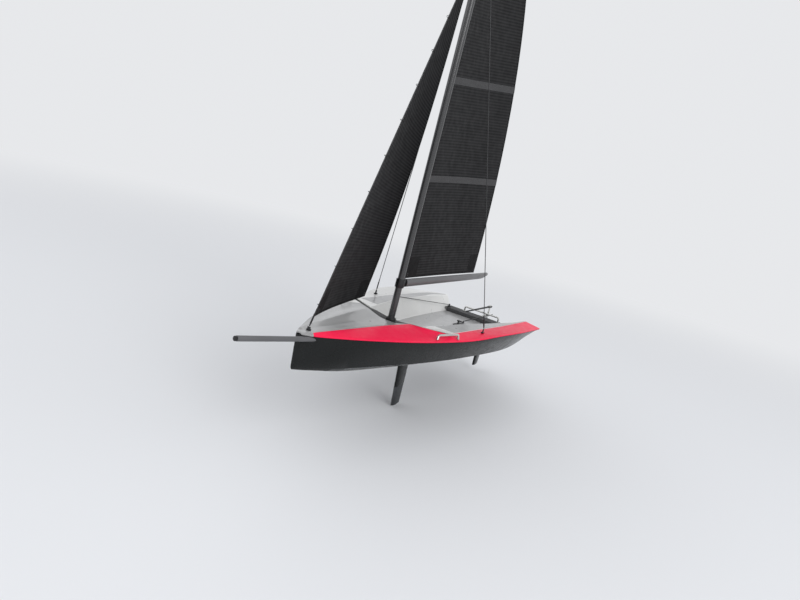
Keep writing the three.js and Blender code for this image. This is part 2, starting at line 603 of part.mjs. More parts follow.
function sailParts() {
  const edges = BATTENS.flatMap(([, v]) => [v - BATTEN_HALF, v + BATTEN_HALF]);
  const rows = [...spread(0, 1, 12), ...edges].sort((a, b) => a - b);
  addPart('mainsail', sheet(sailGrid(mainPoint, rows), [0, SAIL_THICKNESS, 0]), 'sail');
  const onPort = ([x, y, z]) => [x, y + SAIL_THICKNESS + GAP, z];
  BATTENS.forEach(([name, v]) => {
    const grid = sailGrid(mainPoint, [v - BATTEN_HALF, v + BATTEN_HALF]).map((row) => row.map(onPort));
    addPart(`batten_${name}`, sheet(grid, [0, 0.5, 0]), 'strip');
  });
  addPart('jib', sheet(sailGrid(jibPoint, spread(0, 1, 10)), [0, SAIL_THICKNESS, 0]), 'sail');
}

function stayParts() {
  const stay = (from, to) => bar(from, to, STAY_RADIUS, 8);
  addPart('forestay', stay(STAY_FOOT.toArray(), [STAY_HEAD.x, 0, HOUNDS_Z - 3.4]), 'wire');
  const eye = join(post(FORESTAY_X, 0, 9.9, 12, 5), box(FORESTAY_X - 1.5, FORESTAY_X + 1.5, -3, 3, 11, 16.6));
  addPart('forestay_deck_eye', eye, 'steel');

  for (const [name, side] of [['port', 1], ['starboard', -1]]) {
    const base = [SHROUD_X, side * SHROUD_Y];
    addPart(`shroud_${name}`, stay([...base, 18], [0, side * 13, HOUNDS_Z - 3.4]), 'wire');
    const plate = join(box(base[0] - 6, base[0] + 6, base[1] - 3, base[1] + 3, 5.4, 8),
      box(base[0] - 3, base[0] + 3, base[1] - 1, base[1] + 1, 7, 16.6));
    addPart(`chainplate_${name}`, plate, 'steel');

    const route = [
      [19, side * 138, 2.4], [14, side * 137, RAIL_TOP], [-58, side * 155, RAIL_TOP], [-50, side * 161, 2.2],
    ];
    addPart(`grab_rail_${name}`, bentTube(route, RAIL_RADIUS, 5, 12), 'steel');
  }
  const [railX, railZ] = [-648, -30];
  const deckZ = -46 + GAP;
  const sternRail = [[railX, -64, deckZ], [railX, -64, railZ], [railX, 64, railZ], [railX, 64, deckZ]];
  addPart('stern_rail', bentTube(sternRail, RAIL_RADIUS, 5, 12), 'steel');
}

function sheetLineParts() {
  const eye = join(post(-232, -121, 7.3, 9, 5), post(-232, -121, 8.5, 13, 2.4));
  addPart('sheet_lead_eye', eye, 'steel');
  const block = join(post(-626, -116, -45.7, -43, 6), post(-626, -116, -44, -36, 3));
  addPart('sheet_turning_block', block, 'plastic');
  addPart('sheet_loop_line', bar([-236, -117, 11], [-620, -116, -38], 0.9, 8), 'plastic');
}

// ---- radio gear under the foredeck ---------------------------------------------------------------
function radioParts() {
  addPart('radio_tray', box(28, 196, -36, 36, -64, -61.5), 'carbon');
  [['aft', 40], ['forward', 176]].forEach(([name, x]) => {
    const bearer = common(box(x, x + 5, -60, 60, -100, -64 - GAP), insideHull());
    addPart(`tray_bearer_${name}`, bearer, 'carbon');
  });
  const floor = -61.5 + GAP;
  const winch = join(box(40, 81, -10, 10, floor, floor + 37), box(33, 88, -10, 10, floor + 27, floor + 30),
    post(70, 0, floor + 36, floor + 41, 3));
  addPart('sail_winch', winch, 'plastic');
  const drum = [[3.4, 0], [14, 0], [14, 1.5], [10, 2.5], [10, 6.5], [14, 7.5], [14, 9], [3.4, 9], [3.4, 0]]
    .map(([r, z]) => new THREE.Vector2(r, z));
  const drumMesh = new THREE.LatheGeometry(drum, 28).rotateX(Math.PI / 2);
  addPart('winch_drum', drumMesh.translate(70, 0, floor + 37 + GAP), 'label');
  addPart('battery_pack', box(120, 172, -17, 17, floor, floor + 19), 'label');
  addPart('receiver', box(120, 165, -14, 14, floor + 19 + GAP, floor + 32), 'plastic');

  const housing = join(box(-24.4, -8, 46, 60, -33, -23), box(-23.4, -21.7, 42, 64, -36, -20));
  addPart('switch_housing', cut(housing, box(-26, -19, 49, 57, -31, -25)), 'plastic');
  addPart('switch_slider', box(-27, -20, 51.2, 54.8, -30.2, -25.8), 'steel');

  const door = box(-24.4, -21.4 - GAP, -DOOR.y, DOOR.y, DOOR.z0, DOOR.z1);
  const hinge = bar([-24, -26, DOOR.z0], [-24, 26, DOOR.z0], 1.6, 12);
  const knob = join(bar([-24, 0, -20], [-28, 0, -20], 2.4), bar([-27.8, 0, -20], [-30, 0, -20], 4));
  addPart('radio_door', join(door, hinge, knob), 'gelcoat');
}

hullParts();
bowspritParts();
keelParts();
rudderParts();
steeringParts();
mastParts();
boomParts();
sailParts();
stayParts();
sheetLineParts();
radioParts();

export default boat;
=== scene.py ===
# Looks of the radio controlled sailboat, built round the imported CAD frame. Metres, the CAD's own frame.
import json
import math

import bmesh
import bpy
from mathutils import Matrix, Vector

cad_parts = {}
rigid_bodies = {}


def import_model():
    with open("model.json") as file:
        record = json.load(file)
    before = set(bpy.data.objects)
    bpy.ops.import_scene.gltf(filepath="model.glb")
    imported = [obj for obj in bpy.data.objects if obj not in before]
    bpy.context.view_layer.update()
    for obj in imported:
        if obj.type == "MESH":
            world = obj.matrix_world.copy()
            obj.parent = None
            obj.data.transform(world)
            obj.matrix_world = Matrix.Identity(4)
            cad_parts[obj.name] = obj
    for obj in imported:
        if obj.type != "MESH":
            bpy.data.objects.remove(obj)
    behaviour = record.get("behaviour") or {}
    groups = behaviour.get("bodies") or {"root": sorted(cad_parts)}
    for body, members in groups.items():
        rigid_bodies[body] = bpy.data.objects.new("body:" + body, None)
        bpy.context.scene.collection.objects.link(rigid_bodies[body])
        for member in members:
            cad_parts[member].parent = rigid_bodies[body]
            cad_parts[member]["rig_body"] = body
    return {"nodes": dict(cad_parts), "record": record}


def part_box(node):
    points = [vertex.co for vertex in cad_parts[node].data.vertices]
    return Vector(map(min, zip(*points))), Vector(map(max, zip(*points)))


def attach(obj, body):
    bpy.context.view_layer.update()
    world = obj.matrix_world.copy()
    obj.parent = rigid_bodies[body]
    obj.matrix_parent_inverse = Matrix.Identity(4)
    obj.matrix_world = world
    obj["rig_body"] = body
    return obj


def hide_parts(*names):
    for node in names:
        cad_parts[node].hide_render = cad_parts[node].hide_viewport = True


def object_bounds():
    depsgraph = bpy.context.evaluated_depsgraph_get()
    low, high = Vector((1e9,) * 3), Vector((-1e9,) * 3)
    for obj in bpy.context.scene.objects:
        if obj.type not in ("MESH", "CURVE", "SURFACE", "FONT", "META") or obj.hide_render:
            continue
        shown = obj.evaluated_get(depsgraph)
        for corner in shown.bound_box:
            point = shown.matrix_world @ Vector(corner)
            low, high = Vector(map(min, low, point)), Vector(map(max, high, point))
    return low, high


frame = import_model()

CAD_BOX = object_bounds()
MM = 0.001
NODES = frame["nodes"]
SLOT_OF = {part["node"]: part["material_slot"] for part in frame["record"]["subparts"]}

# ---- camera, floor and light ---------------------------------------------------------------------
CAMERA_AT = (1.0844, 0.5740, 0.2981)
CAMERA_RIGHT = (-0.4890, 0.8380, 0.2420)
CAMERA_AHEAD = (-0.8710, -0.4520, -0.1950)
LENS = 23.51
FLOOR_DROP, FLOOR_RADIUS = 0.004, 60
FADE_FROM, FADE_TO = 1.5, 6.0        # where the floor turns into an even glow
PALE = (0.80, 0.81, 0.83)

# ---- hull lines, as in the CAD: x, half breadth, height in mm ---------------------------------------
BOW_X, NOSE_AFT_X, STERN_X = 338, 318, -662
GAP, SHELL, DECK = 0.3, 3.0, 3.0
SHEER = [
    (338, 7, 8), (307, 26, 6), (207, 76, 4), (76, 124, 0), (-56, 163, -2),
    (-145, 184, -1), (-227, 205, 6), (-355, 221, 6), (-481, 218, -3), (-662, 205, -20),
]
CHINE = [
    (338, 4, -52), (307, 15, -48), (232, 56, -39), (108, 99, -32), (0, 136, -28),
    (-147, 176, -21), (-372, 209, -20), (-662, 194, -31),
]
KEEL = [
    (338, 0, -66), (307, 0, -73), (207, 0, -83), (60, 0, -89), (-50, 0, -90),
    (-260, 0, -90), (-450, 0, -89), (-662, 0, -78),
]
CREASE = [(338, 13, 9.5), (318, 16.3, 11), (200, 33, 13), (100, 47, 14), (15, 58.6, 12.7)]
BENCH_OUTER = [
    (-31, 140, 11), (-93, 141, 7.7), (-217, 149, 5.3), (-341, 157, 2), (-527, 162, -3), (-662, 153, -13),
]
BENCH_INNER = [
    (-24, 76, 8), (-155, 99, 8), (-232, 113, 7), (-341, 124, 1), (-465, 137, -4), (-662, 147, -14),
]
FLOOR_EDGE = [(-24, 70, -48), (-210, 98, -55), (-465, 116, -58), (-662, 120, -60)]
PEAK = (15, 58.6, 12.7)
SPRIT_TIP, SPRIT_HEEL, SPRIT_RADIUS = Vector((484, -8, 11.5)), Vector((206, 32, -11.5)), 5
KEEL_BOLT_X, KEEL_BOLT_HOLE = -130, 2.8
SERVO_X, SERVO_AFT, SERVO_FORE, SERVO_HALF = -450, 30, 11, 10.6
KNEE_X, KNEE = -10, (-8, 99, 11.8)
PANEL_HIGHLIGHT_X = -14
FLOOR_TOP = -40
COCKPIT_FRONT_X, BENCH_FRONT_X = -24, -50
BENCH_TOP_OUTER, BENCH_TOP_INNER = 1.2, 2.6
BENCH_TOP_LIFT, BENCH_TOP_THICK = 0.35, 0.33

# ---- rig, as in the CAD, in mm -----------------------------------------------------------------------
MAIN_LUFF_X, MAIN_TACK_Z, MAIN_HEAD_Z, MAIN_CAMBER = -14.5, 106, 965, 0.035
BATTENS = {"lower": 0.279, "middle": 0.5355, "upper": 0.8}
BATTEN_HALF = 0.0091
JIB_TACK_Z, JIB_HEAD_Z, JIB_CAMBER, JIB_LUFF_GAP = 37, 775, 0.05, 2.2
JIB_ANGLE, JIB_TWIST, JIB_FOOT_ROUND = 15.5, 10, 9
STAY_FOOT, STAY_HEAD = Vector((312, 0, 18)), Vector((13.5, 0, 848))
STAY_AXIS = (STAY_HEAD - STAY_FOOT).normalized()
STAY_HEAD_DROP = 3.4                  # the wire ends below the point that the jib's axis runs to
SHROUD_FOOT, SHROUD_HEAD = Vector((-190, 169, 18)), Vector((0, 13, 844.6))
CLOTH = 0.6
RAIL_TOP, RAIL_RADIUS, RAIL_BEND = 11.8, 2.8, 5
HAND_RAIL = [(19, 138, 2.4), (14, 137, RAIL_TOP), (-58, 155, RAIL_TOP), (-50, 161, 2.2)]
STERN_RAIL_X, STERN_RAIL_HALF, STERN_RAIL_FOOT, STERN_RAIL_TOP = -648, 64, -46, -30
WIRE_RADIUS = 0.95
SHEET_LINE = (Vector((-236, -117, 11)), Vector((-620, -116, -38)))
SHEET_LINE_RADIUS = 0.9
YARN_PITCH = 6.6
MAST_WALL = 1.5
TRACKS = {"lower": (122, 838), "upper": (858, 992)}
TAPE_PROUD = 0.3
THREAD_RADIUS, STITCH_PITCH = 0.22, 6
HANKS = 10
HANK_SHIFT, HANK_LENGTH, HANK_WIDTH, HANK_WIRE = 0.9, 3.9, 3.2, 0.5    # half sizes round the stay


# ---- small helpers -----------------------------------------------------------------------------------
def spread(first, last, count):
    """count + 1 numbers evenly from first to last."""
    return [first + (last - first) * i / count for i in range(count + 1)]


def line_at(line, x):
    """Smooth curve through hull-line points, read at x: (half breadth, height)."""
    last = len(line) - 1
    i = next((k for k in range(last) if line[k + 1][0] <= x <= line[k][0]), None)
    if i is None:
        i = 0 if x > line[0][0] else last - 1
    a, b = line[i], line[i + 1]
    before, after = line[max(i - 1, 0)], line[min(i + 2, last)]
    step = b[0] - a[0]
    t = (x - a[0]) / step
    values = []
    for axis in (1, 2):
        slope_a = (b[axis] - before[axis]) / (b[0] - before[0]) * step
        slope_b = (after[axis] - a[axis]) / (after[0] - a[0]) * step
        values.append(
            (2 * t**3 - 3 * t**2 + 1) * a[axis] + (t**3 - 2 * t**2 + t) * slope_a
            + (3 * t**2 - 2 * t**3) * b[axis] + (t**3 - t**2) * slope_b
        )
    return values


def link(name, vertices, faces, scale=MM):
    """New object from points and faces, with its faces turned outwards."""
    mesh = bpy.data.meshes.new(name)
    mesh.from_pydata([[c * scale for c in v] for v in vertices], [], faces)
    bm = bmesh.new()
    bm.from_mesh(mesh)
    bmesh.ops.recalc_face_normals(bm, faces=bm.faces)
    if bm.calc_volume(signed=True) < 0:
        bmesh.ops.reverse_faces(bm, faces=bm.faces)
    bm.to_mesh(mesh)
    bm.free()
    piece = bpy.data.objects.new(name, mesh)
    bpy.context.scene.collection.objects.link(piece)
    return piece


def round_edges(piece, width, segments=3, angle=32):
    bevel = piece.modifiers.new("edges", "BEVEL")
    bevel.limit_method = "ANGLE"
    bevel.angle_limit = math.radians(angle)
    bevel.width = width * MM
    bevel.segments = segments
    bevel.use_clamp_overlap = True
    bake_modifiers(piece)


def bake_modifiers(piece):
    bpy.context.view_layer.update()
    evaluated = piece.evaluated_get(bpy.context.evaluated_depsgraph_get())
    mesh = bpy.data.meshes.new_from_object(evaluated)
    piece.modifiers.clear()
    piece.data = mesh


def cut(piece, *tools):
    """Takes closed tool bodies out of a piece."""
    for tool in tools:
        hole = piece.modifiers.new("cut", "BOOLEAN")
        hole.operation = "DIFFERENCE"
        hole.solver = "EXACT"
        hole.object = tool
    bake_modifiers(piece)
    for tool in tools:
        bpy.data.objects.remove(tool)


def block(name, x0, x1, y0, y1, z0, z1):
    return loft(name, [[(x, y0, z0), (x, y1, z0), (x, y1, z1), (x, y0, z1)] for x in (x0, x1)])


def shade(piece, sharp=40):
    """Smooth shading, with edges over the sharp angle, in degrees, kept crisp."""
    limit = math.radians(sharp)
    bm = bmesh.new()
    bm.from_mesh(piece.data)
    for face in bm.faces:
        face.smooth = True
    for edge in bm.edges:
        edge.smooth = len(edge.link_faces) == 2 and edge.calc_face_angle(0) < limit
    bm.to_mesh(piece.data)
    bm.free()


def place(piece, body, slot, *nodes, look=None):
    """Gives a piece its material, its body and the CAD nodes that it stands for."""
    piece.data.materials.clear()
    piece.data.materials.append(look or LOOKS[slot])
    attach(piece, body)
    if nodes:
        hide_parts(*nodes)
    return piece


def loft(name, rings):
    """Closed body from rings of points, with both ends capped."""
    size = len(rings[0])
    faces = []
    for i in range(len(rings) - 1):
        for j in range(size):
            k = (j + 1) % size
            faces.append((i * size + j, i * size + k, (i + 1) * size + k, (i + 1) * size + j))
    faces.append(tuple(range(size)))
    faces.append(tuple((len(rings) - 1) * size + j for j in range(size)))
    return link(name, [p for ring in rings for p in ring], faces)


def slab(name, grid, offset):
    """Closed sheet from a grid of points; its second face lies along offset."""
    rows, columns = len(grid), len(grid[0])
    front = [tuple(p) for row in grid for p in row]
    back = [(x + offset[0], y + offset[1], z + offset[2]) for x, y, z in front]
    half = len(front)
    faces = []
    for i in range(rows - 1):
        for j in range(columns - 1):
            a = i * columns + j
            quad = (a, a + 1, a + columns + 1, a + columns)
            faces += [quad, tuple(half + k for k in reversed(quad))]
    rim = [i for i in range(columns)]
    rim += [i * columns + columns - 1 for i in range(1, rows)]
    rim += [(rows - 1) * columns + j for j in range(columns - 2, -1, -1)]
    rim += [i * columns for i in range(rows - 2, 0, -1)]
    for a, b in zip(rim, rim[1:] + rim[:1]):
        faces.append((a, b, b + half, a + half))
    return link(name, front + back, faces)


def sweep(name, points, radius, sides=16, joined=None):
    """Round tube along points, with flat ends. joined adds more tubes to the same mesh."""
    vertices, faces = [], []
    for path in [points] + (joined or []):
        path = [Vector(p) for p in path]
        start = len(vertices)
        side = None
        for i, point in enumerate(path):
            ahead = (path[min(i + 1, len(path) - 1)] - path[max(i - 1, 0)]).normalized()
            if side is None:
                side = ahead.orthogonal().normalized()
            side = (side - ahead * side.dot(ahead)).normalized()
            other = ahead.cross(side)
            for k in range(sides):
                a = 2 * math.pi * k / sides
                vertices.append(point + (side * math.cos(a) + other * math.sin(a)) * radius)
        for i in range(len(path) - 1):
            for k in range(sides):
                n = (k + 1) % sides
                row = start + i * sides
                faces.append((row + k, row + n, row + sides + n, row + sides + k))
        faces.append(tuple(start + k for k in range(sides)))
        faces.append(tuple(start + (len(path) - 1) * sides + k for k in range(sides)))
    return link(name, vertices, faces)


def rounded(points, bend, steps=8):
    """The same path with each corner turned into a smooth bend."""
    corners = [Vector(p) for p in points]
    path = [corners[0]]
    for before, corner, after in zip(corners, corners[1:], corners[2:]):
        start = corner + (before - corner).normalized() * bend
        end = corner + (after - corner).normalized() * bend
        for t in spread(0, 1, steps):
            path.append(start.lerp(corner, t).lerp(corner.lerp(end, t), t))
    return path + [corners[-1]]


def turned(name, profile, foot, axis, sides, hollow):
    """Body turned about an axis: (radius, height) pairs from axis to axis, or all round a hollow one."""
    foot, axis = Vector(foot), Vector(axis).normalized()
    side = axis.orthogonal().normalized()
    other = axis.cross(side)
    vertices, faces = [], []
    for radius, height in profile:
        for k in range(sides):
            a = 2 * math.pi * k / sides
            around = side * math.cos(a) + other * math.sin(a)
            vertices.append(foot + axis * height + around * max(radius, 0.01))
    for i in range(len(profile) if hollow else len(profile) - 1):
        row, above = i * sides, (i + 1) % len(profile) * sides
        for k in range(sides):
            n = (k + 1) % sides
            faces.append((row + k, row + n, above + n, above + k))
    if not hollow:
        faces.append(tuple(range(sides)))
        faces.append(tuple((len(profile) - 1) * sides + k for k in range(sides)))
    return link(name, vertices, faces)


def turned_smooth(name, profile, foot, axis, sides=32, sharp=42, hollow=False):
    piece = turned(name, profile, foot, axis, sides, hollow)
    shade(piece, sharp)
    return piece


def refined(node, width=0.35, segments=2, sharp=32, look=None):
    """A CAD node's own shape with its edges rounded and its curved faces shaded smooth."""
    bm = bmesh.new()
    bm.from_mesh(NODES[node].data)
    bmesh.ops.remove_doubles(bm, verts=bm.verts, dist=2e-6)
    bmesh.ops.dissolve_limit(bm, angle_limit=math.radians(0.5), verts=bm.verts, edges=bm.edges)
    bm.verts.index_update()
    vertices = [tuple(v.co) for v in bm.verts]
    faces = [tuple(v.index for v in f.verts) for f in bm.faces]
    bm.free()
    piece = link(node + "_shape", vertices, faces, scale=1)
    round_edges(piece, width, segments, sharp)
    shade(piece, sharp + 12)
    return place(piece, NODES[node]["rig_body"], SLOT_OF[node], node, look=look)


# ---- materials -----------------------------------------------------------------------------------
class Look:
    """One procedural material, built node by node."""

    def __init__(self, name, roughness, metallic=0.0, coat=0.0, specular=0.5):
        self.material = bpy.data.materials.new(name)
        self.material.use_nodes = True
        self.tree = self.material.node_tree
        self.shader = self.tree.nodes["Principled BSDF"]
        self.shader.inputs["Roughness"].default_value = roughness
        self.shader.inputs["Metallic"].default_value = metallic
        self.shader.inputs["Coat Weight"].default_value = coat
        self.shader.inputs["Coat Roughness"].default_value = 0.08
        self.shader.inputs["Specular IOR Level"].default_value = specular
        self.where = self.node("ShaderNodeTexCoord").outputs["Object"]

    def node(self, kind, **settings):
        made = self.tree.nodes.new(kind)
        for key, value in settings.items():
            setattr(made, key, value)
        return made

    def join(self, start, end):
        self.tree.links.new(start, end)

    def noise(self, scale, detail=4.0, stretch=None):
        texture = self.node("ShaderNodeTexNoise")
        texture.inputs["Scale"].default_value = scale
        texture.inputs["Detail"].default_value = detail
        self.join(self.mapped(stretch), texture.inputs["Vector"])
        return texture.outputs["Fac"]

    def mapped(self, stretch):
        if stretch is None:
            return self.where
        mapping = self.node("ShaderNodeMapping")
        mapping.inputs["Scale"].default_value = stretch
        self.join(self.where, mapping.inputs["Vector"])
        return mapping.outputs["Vector"]

    def waves(self, scale, direction, vector=None):
        texture = self.node("ShaderNodeTexWave", bands_direction=direction)
        texture.inputs["Scale"].default_value = scale
        self.join(vector or self.where, texture.inputs["Vector"])
        return texture.outputs["Fac"]

    def math(self, operation, first, second):
        made = self.node("ShaderNodeMath", operation=operation)
        for slot, value in zip(made.inputs, (first, second)):
            if isinstance(value, (int, float)):
                slot.default_value = value
            else:
                self.join(value, slot)
        return made.outputs["Value"]

    def between(self, factor, low, high, start=0.0, end=1.0):
        """Numbers from low to high as factor goes from start to end."""
        made = self.node("ShaderNodeMapRange")
        made.inputs["From Min"].default_value = start
        made.inputs["From Max"].default_value = end
        made.inputs["To Min"].default_value = low
        made.inputs["To Max"].default_value = high
        self.join(factor, made.inputs["Value"])
        return made.outputs["Result"]

    def colours(self, factor, low, high, start=0.35, end=0.65):
        ramp = self.node("ShaderNodeValToRGB")
        ramp.color_ramp.elements[0].position = start
        ramp.color_ramp.elements[0].color = (*low, 1)
        ramp.color_ramp.elements[1].position = end
        ramp.color_ramp.elements[1].color = (*high, 1)
        self.join(factor, ramp.inputs["Fac"])
        return ramp.outputs["Color"]

    def paint(self, colour):
        self.join(colour, self.shader.inputs["Base Color"])
        return self

    def polish(self, roughness):
        self.join(roughness, self.shader.inputs["Roughness"])
        return self

    def relief(self, height, depth, strength=0.6):
        bump = self.node("ShaderNodeBump")
        bump.inputs["Strength"].default_value = strength
        bump.inputs["Distance"].default_value = depth * MM
        self.join(height, bump.inputs["Height"])
        self.join(bump.outputs["Normal"], self.shader.inputs["Normal"])
        return self


def near(colour, change):
    """The same colour, lighter or darker by a share."""
    return tuple(min(1.0, max(0.0, c * (1 + change))) for c in colour)


def gelcoat(name, colour, roughness=0.32, coat=0.35, change=0.035, specular=0.5):
    """Moulded gelcoat: even colour with faint clouding, fine orange peel under a clear gloss."""
    look = Look(name, roughness, coat=coat, specular=specular)
    look.paint(look.colours(look.noise(9, 5), near(colour, -change), near(colour, change)))
    look.polish(look.between(look.noise(60, 3), roughness - 0.05, roughness + 0.08, 0.3, 0.7))
    return look.relief(look.noise(300, 2), 0.02, 0.2).material


def non_slip(name, colour):
    """Moulded non-slip: rows of small raised pips."""
    look = Look(name, 0.72, specular=0.3)
    pips = look.node("ShaderNodeTexVoronoi")
    pips.inputs["Scale"].default_value = 520
    pips.inputs["Randomness"].default_value = 0.15
    look.join(look.where, pips.inputs["Vector"])
    raised = look.between(pips.outputs["Distance"], 1, 0, 0.15, 0.5)
    look.paint(look.colours(raised, near(colour, -0.3), near(colour, 0.15), 0.1, 0.8))
    look.polish(look.between(look.noise(35), 0.62, 0.82, 0.3, 0.7))
    return look.relief(raised, 0.25, 0.8).material


def carbon(name, colour, roughness=0.34):
    """Carbon tube: a fine diagonal twill under satin lacquer."""
    look = Look(name, roughness, coat=0.3)
    one = look.waves(160, "DIAGONAL")
    other = look.waves(160, "DIAGONAL", look.mapped((1, 1, -1)))
    twill = look.math("MULTIPLY", one, other)
    look.paint(look.colours(twill, near(colour, -0.22), near(colour, 0.25), 0.1, 0.7))
    look.polish(look.between(look.noise(40, 3), roughness - 0.06, roughness + 0.1, 0.3, 0.7))
    return look.relief(twill, 0.04, 0.4).material


def sailcloth(name, dark, light, reach):
    """Laminated sailcloth: a dark film with close, fine yarns along the battens."""
    look = Look(name, 0.6, specular=0.1)
    place_on_cloth = look.node("ShaderNodeUVMap", uv_map="cloth").outputs["UV"]
    parts = look.node("ShaderNodeSeparateXYZ")
    look.join(place_on_cloth, parts.inputs["Vector"])
    turns = look.math("MULTIPLY", parts.outputs["Y"], reach / YARN_PITCH * 2 * math.pi)
    yarn = look.math("SINE", turns, 0)
    cloud = look.math("MULTIPLY", look.noise(14, 5, (1, 1, 0.25)), 0.45)
    tone = look.math("ADD", look.between(yarn, 0.05, 0.62, -1, 1), cloud)
    look.paint(look.colours(tone, dark, light, 0.2, 0.85))
    look.polish(look.between(look.noise(55, 3), 0.52, 0.68, 0.3, 0.7))
    return look.relief(tone, 0.12, 0.5).material


def webbing(name, colour):
    """Woven tape and batten pockets: tight cross weave."""
    look = Look(name, 0.7, specular=0.12)
    weave = look.math("MULTIPLY", look.waves(380, "X"), look.waves(380, "Z"))
    look.paint(look.colours(weave, near(colour, -0.25), near(colour, 0.2), 0.1, 0.7))
    look.polish(look.between(look.noise(50), 0.62, 0.78, 0.3, 0.7))
    return look.relief(weave, 0.08, 0.6).material


def metal(name, colour, roughness):
    """Polished metal with faint stains and uneven polish."""
    look = Look(name, roughness, metallic=1.0)
    look.paint(look.colours(look.noise(30, 5), near(colour, -0.1), near(colour, 0.06)))
    look.polish(look.between(look.noise(260, 4), roughness - 0.07, roughness + 0.12, 0.3, 0.7))
    return look.relief(look.noise(700, 2), 0.015, 0.3).material


def stranded(name, colour):
    """Stranded wire: a steep twist along its length."""
    look = Look(name, 0.4, metallic=0.7)
    twist = look.waves(330, "DIAGONAL", look.mapped((3, 3, 1)))
    look.paint(look.colours(twist, near(colour, -0.4), near(colour, 0.3), 0.15, 0.85))
    look.polish(look.between(look.noise(80), 0.32, 0.5, 0.3, 0.7))
    return look.relief(twist, 0.2, 0.8).material


def moulded(name, colour, roughness=0.5):
    """Moulded plastic with a fine spark-eroded grain."""
    look = Look(name, roughness, specular=0.4)
    look.paint(look.colours(look.noise(25, 5), near(colour, -0.12), near(colour, 0.12)))
    look.polish(look.between(look.noise(90, 4), roughness - 0.08, roughness + 0.1, 0.3, 0.7))
    return look.relief(look.noise(900, 2), 0.05, 0.5).material


def painted_tube(name, colour):
    """Satin paint on a tube, streaked along its length."""
    look = Look(name, 0.38, metallic=0.15, coat=0.2)
    look.paint(look.colours(look.noise(18, 5), near(colour, -0.08), near(colour, 0.08)))
    look.polish(look.between(look.noise(70, 3, (0.3, 1, 1)), 0.3, 0.48, 0.3, 0.7))
    return look.relief(look.noise(500, 2, (0.1, 1, 1)), 0.02, 0.4).material


CLOTH_TONES = (0.0035, 0.0035, 0.004), (0.021, 0.021, 0.022)
LOOKS = {
    "hull": gelcoat("look_hull", (0.008, 0.0092, 0.0092), 0.26, 0.0, 0.2, 0.22),
    "gelcoat": gelcoat("look_grey_gelcoat", (0.36, 0.36, 0.36)),
    "white": gelcoat("look_white_gelcoat", (0.82, 0.82, 0.80)),
    "red": gelcoat("look_red_gelcoat", (1.0, 0.012, 0.075), 0.42, 0.04, 0.02, 0.2),
    "pad": non_slip("look_non_slip", (0.085, 0.085, 0.087)),
    "carbon": carbon("look_carbon", (0.045, 0.045, 0.047), 0.24),
    "sail": sailcloth("look_main_cloth", *CLOTH_TONES, MAIN_HEAD_Z - MAIN_TACK_Z),
    "strip": webbing("look_batten_pocket", (0.072, 0.072, 0.074)),
    "tube": painted_tube("look_bowsprit", (0.115, 0.115, 0.12)),
    "steel": metal("look_stainless", (0.62, 0.62, 0.60), 0.2),
    "wire": stranded("look_stay_wire", (0.06, 0.06, 0.062)),
    "lead": metal("look_ballast", (0.10, 0.105, 0.11), 0.55),
    "plastic": moulded("look_black_plastic", (0.012, 0.012, 0.013)),
    "label": moulded("look_blue_plastic", (0.025, 0.11, 0.33), 0.42),
}
BOOM_PAINT = painted_tube("look_boom_paint", (0.12, 0.12, 0.124))
DARK_METAL = metal("look_dark_anodised", (0.05, 0.05, 0.052), 0.38)
JIB_CLOTH = sailcloth("look_jib_cloth", *CLOTH_TONES, JIB_HEAD_Z - JIB_TACK_Z)
BRAID = webbing("look_braided_line", (0.028, 0.028, 0.030))
TAPE = webbing("look_edge_tape", (0.009, 0.009, 0.0095))
PIPING = webbing("look_edge_piping", (0.085, 0.085, 0.087))
THREAD = moulded("look_thread", (0.09, 0.09, 0.095), 0.6)


# ---- hull ----------------------------------------------------------------------------------------
PORT_STBD = (("port", 1), ("starboard", -1))
FORE = [NOSE_AFT_X] + spread(312, 30, 22)
AFT = spread(-31, STERN_X, 48)
NOSE = [BOW_X, 333, 328, 323, NOSE_AFT_X + GAP]
COCKPIT_STEP = (COCKPIT_FRONT_X - STERN_X) / 18
COCKPIT = [COCKPIT_FRONT_X] + spread(COCKPIT_FRONT_X - COCKPIT_STEP, STERN_X, 51)


def half_section(x, inset):
    """Port half of the hull's section at x, from sheer to keel: (half breadth, height) pairs."""
    sheer, chine, keel = line_at(SHEER, x), line_at(CHINE, x), line_at(KEEL, x)
    rise = chine[1] - keel[1]

    def bottom(share, up):
        return (max(chine[0] * share - inset, 0.5), keel[1] + rise * up + inset)

    top = (max(sheer[0] - inset, 0.6), sheer[1] - DECK - GAP)
    low = (max(chine[0] - inset, 0.5), chine[1] + inset * 0.3)
    return [top, low, bottom(0.88, 0.42), bottom(0.62, 0.13), (0, keel[1] + inset)]


def hull_body(name, stations, inset=0, lift=0):
    """Closed body of the hull's lines, inset from the skin and carried up above the sheer by lift."""
    rings = []
    for x in stations:
        half = half_section(x, inset)
        if lift:
            half.insert(0, (half[0][0], half[0][1] + lift))
        port = [(x, y, z) for y, z in half]
        rings.append(port + [(px, -y, z) for px, y, z in reversed(port[:-1])])
    return loft(name, rings)


def build_hull():
    stations = NOSE[:-1] + FORE + [PEAK[0], KNEE_X] + AFT
    piece = hull_body("hull_skin", stations)
    hollow_x = BOW_X - 8
    within = [hollow_x] + [x for x in stations if x < hollow_x] + [STERN_X - 4]
    inside = hull_body("hull_inside", within, SHELL, 40)
    sprit_hole = sweep("sprit_hole", [SPRIT_HEEL, SPRIT_TIP], SPRIT_RADIUS + GAP, 32)
    bolt_line = [(KEEL_BOLT_X, 0, -110), (KEEL_BOLT_X, 0, -70)]
    bolt_hole = sweep("bolt_hole", bolt_line, KEEL_BOLT_HOLE, 24)
    cut(piece, inside, sprit_hole, bolt_hole)
    round_edges(piece, 0.6, 2, 38)
    shade(piece, 34)
    place(piece, "hull", "hull", "hull_shell")


